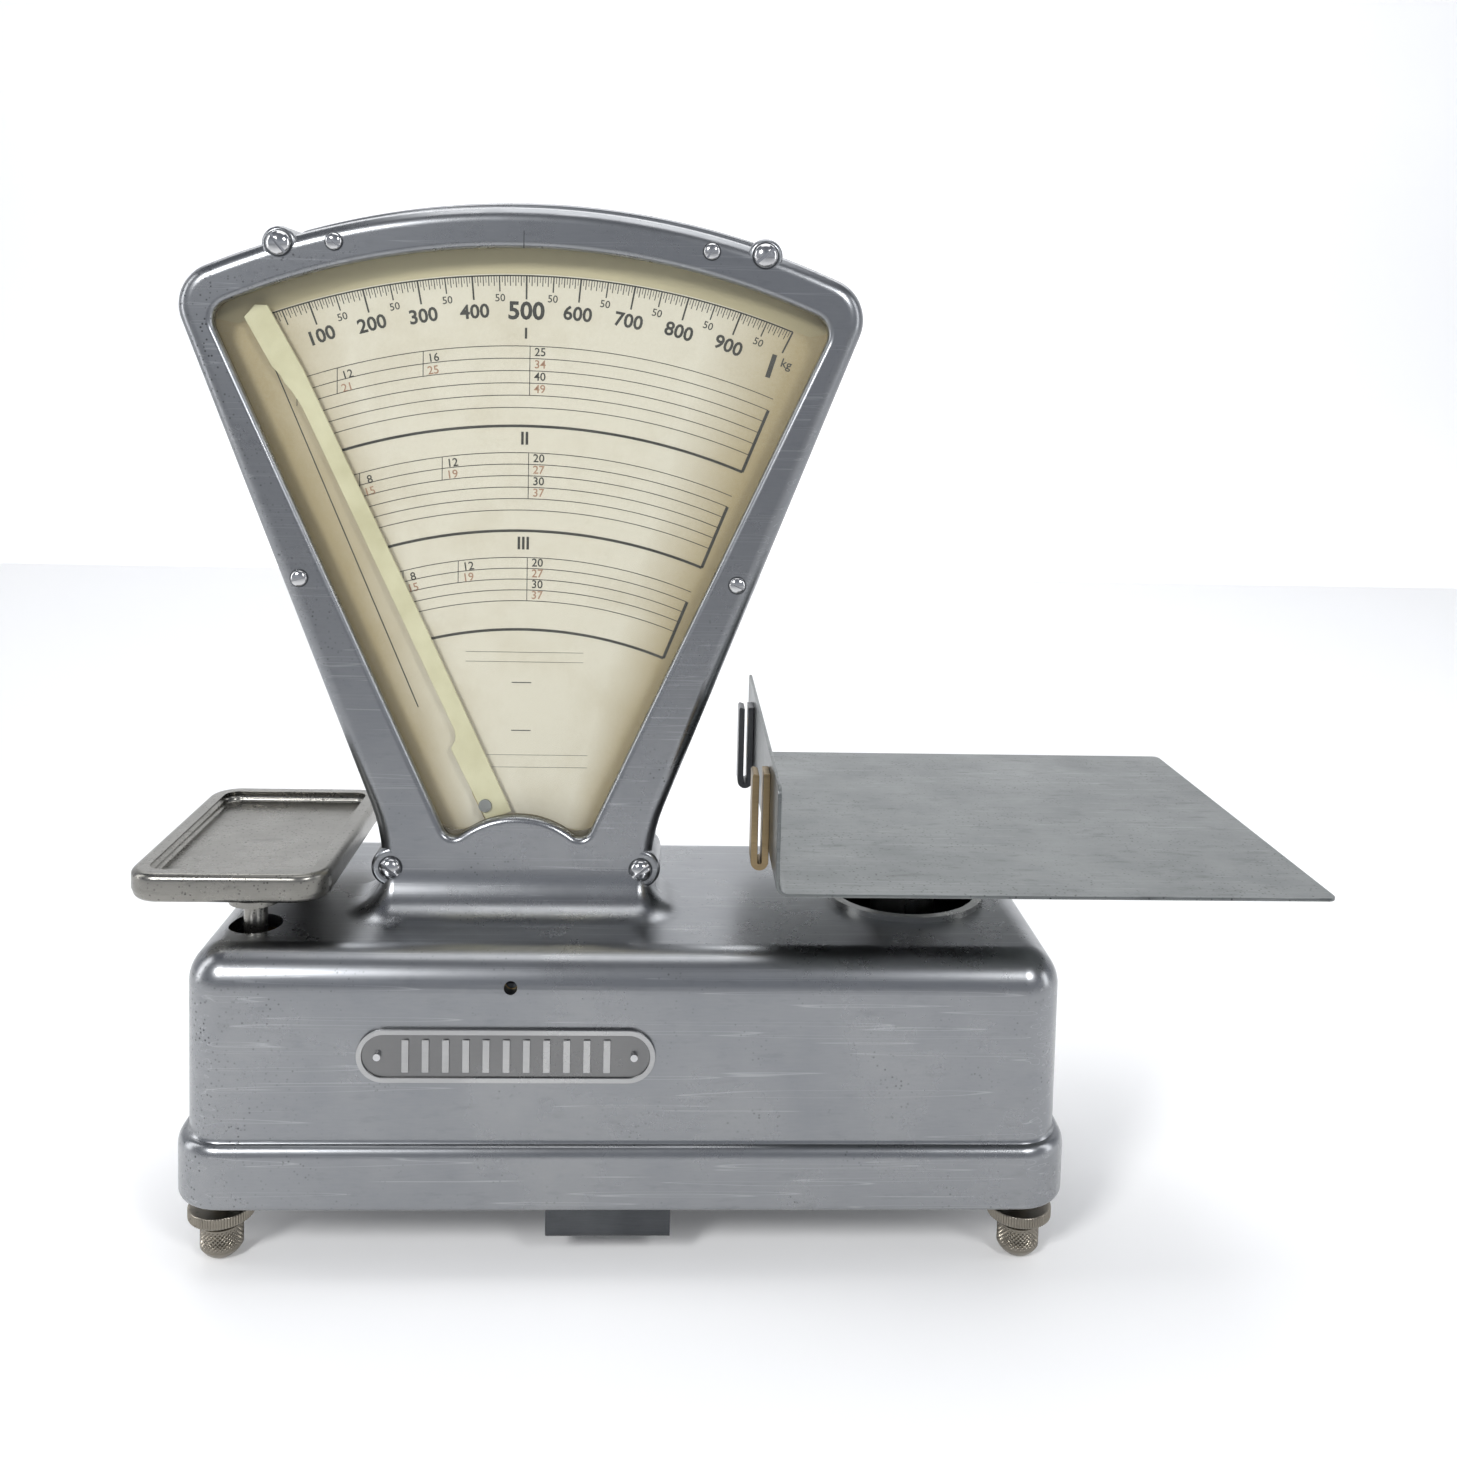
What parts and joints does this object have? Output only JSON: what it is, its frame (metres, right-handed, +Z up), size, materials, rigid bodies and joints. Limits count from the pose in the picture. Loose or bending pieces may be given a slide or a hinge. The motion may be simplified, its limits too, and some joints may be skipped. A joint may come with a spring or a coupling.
{
  "type": "letter scale",
  "caption": "Automatic letter scale: fan-shaped dial head on a cast base, flat letter tray with a fence, small weight pan, beam with pendulum and levelling feet.",
  "frame": {"origin": "under the middle of the whole scale, on the surface that the feet stand on", "axes": "+X towards the letter tray, +Y to the rear, +Z up"},
  "size_m": [0.394, 0.167, 0.362],
  "materials": {
    "cast_aluminium": "polished casting, pitted",
    "turned_aluminium": "turned and polished",
    "nickel": "dull nickel plate, pitted",
    "tray_sheet": "dull scratched sheet",
    "screw_steel": "polished",
    "dark_steel": "dark oxide",
    "steel": "satin",
    "brass": "dull",
    "worn_clip": "tarnished",
    "chart": "matt aged cream",
    "ivory": "satin",
    "glass": "clear",
    "retainer": "matt",
    "foot_metal": "knurled, worn nickel over brass",
    "iron": "black",
    "badge_metal": "polished relief"
  },
  "bodies": {
    "case": {"body_casting": "cast_aluminium", "head_rear_cover": "cast_aluminium", "window_glass": "glass", "glass_retainer": "retainer", "chart_plate": "chart", "case_screws": "screw_steel", "retainer_screws": "screw_steel", "badge": "badge_metal", "badge_pins": "screw_steel", "post_ring": "turned_aluminium", "base_plate": "dark_steel", "base_plate_screws": "screw_steel", "fulcrum_bracket": "steel", "fulcrum_bearings": "dark_steel", "movement_plates": "brass", "movement_pillars": "brass", "dashpot_cylinder": "dark_steel", "folded_stop": "dark_steel", "zero_screw_block": "brass"},
    "beam": {"beam": "steel", "fulcrum_knives": "dark_steel", "beam_end_pins": "steel", "beam_cross_bars": "steel"},
    "check_link": {"check_link": "steel", "check_link_pins": "steel"},
    "pan_carrier": {"pan_stems": "nickel", "pan_yoke": "steel", "tare_weight": "brass", "weight_pan": "nickel"},
    "tray_carrier": {"tray_post": "turned_aluminium", "tray_support": "steel", "letter_tray": "tray_sheet", "tray_set_screws": "screw_steel", "fence_hooks": "worn_clip", "hook_rivets": "brass"},
    "pointer_arbor": {"arbor": "steel", "pinion": "brass", "pointer_arm": "brass", "pointer": "ivory", "pointer_rivet": "steel", "pendulum_rod": "steel", "pendulum_weight": "iron"},
    "drive_rack": {"drive_rack": "brass"},
    "dashpot_piston": {"piston_rod": "steel", "piston": "brass"},
    "zero_screw": {"zero_screw": "brass"},
    "foot_front_left": {"foot_front_left": "foot_metal", "lock_nut_front_left": "foot_metal"},
    "foot_front_right": {"foot_front_right": "foot_metal", "lock_nut_front_right": "foot_metal"},
    "foot_rear_left": {"foot_rear_left": "foot_metal", "lock_nut_rear_left": "foot_metal"},
    "foot_rear_right": {"foot_rear_right": "foot_metal", "lock_nut_rear_right": "foot_metal"}
  },
  "joints": [
    {"name": "tray_drop", "type": "slide", "parent": "case", "child": "tray_carrier", "axis": [0, 0, -1], "range_m": [0, 0.008]},
    {"name": "pan_rise", "type": "slide", "parent": "case", "child": "pan_carrier", "axis": [0, 0, 1], "range_m": [0, 0.008]},
    {"name": "beam_rock", "type": "hinge", "parent": "case", "child": "beam", "pos_m": [-0.0426, 0, 0.084], "axis": [0, 1, 0], "range_deg": [0, 4]},
    {"name": "check_link_rock", "type": "hinge", "parent": "case", "child": "check_link", "pos_m": [-0.0426, 0, 0.048], "axis": [0, 1, 0], "range_deg": [0, 4]},
    {"name": "pointer_sweep", "type": "hinge", "parent": "case", "child": "pointer_arbor", "pos_m": [-0.07, 0, 0.12], "axis": [0, 1, 0], "range_deg": [0, 52]},
    {"name": "rack_rise", "type": "slide", "parent": "case", "child": "drive_rack", "axis": [0, 0, 1], "range_m": [0, 0.00454]},
    {"name": "piston_drop", "type": "slide", "parent": "case", "child": "dashpot_piston", "axis": [0, 0, -1], "range_m": [0, 0.00503]},
    {"name": "zero_screw_turn", "type": "hinge", "parent": "case", "child": "zero_screw", "pos_m": [-0.067, -0.05, 0.099], "axis": [0, -1, 0], "range_deg": [-90, 90]},
    {"name": "foot_front_left_turn", "type": "hinge", "parent": "case", "child": "foot_front_left", "pos_m": [-0.165, -0.047, 0.01], "axis": [0, 0, 1], "range_deg": [-180, 180]},
    {"name": "foot_front_right_turn", "type": "hinge", "parent": "case", "child": "foot_front_right", "pos_m": [0.108, -0.047, 0.01], "axis": [0, 0, 1], "range_deg": [-180, 180]},
    {"name": "foot_rear_left_turn", "type": "hinge", "parent": "case", "child": "foot_rear_left", "pos_m": [-0.165, 0.047, 0.01], "axis": [0, 0, 1], "range_deg": [-180, 180]},
    {"name": "foot_rear_right_turn", "type": "hinge", "parent": "case", "child": "foot_rear_right", "pos_m": [0.108, 0.047, 0.01], "axis": [0, 0, 1], "range_deg": [-180, 180]}
  ],
  "couplings": [
    {"joint": "pan_rise", "follows": "tray_drop", "ratio": 1},
    {"joint": "beam_rock", "follows": "tray_drop", "rad_per_m": 8.7266},
    {"joint": "check_link_rock", "follows": "tray_drop", "rad_per_m": 8.7266},
    {"joint": "pointer_sweep", "follows": "tray_drop", "rad_per_m": 113.45},
    {"joint": "rack_rise", "follows": "tray_drop", "ratio": 0.56723},
    {"joint": "piston_drop", "follows": "tray_drop", "ratio": 0.62819}
  ]
}
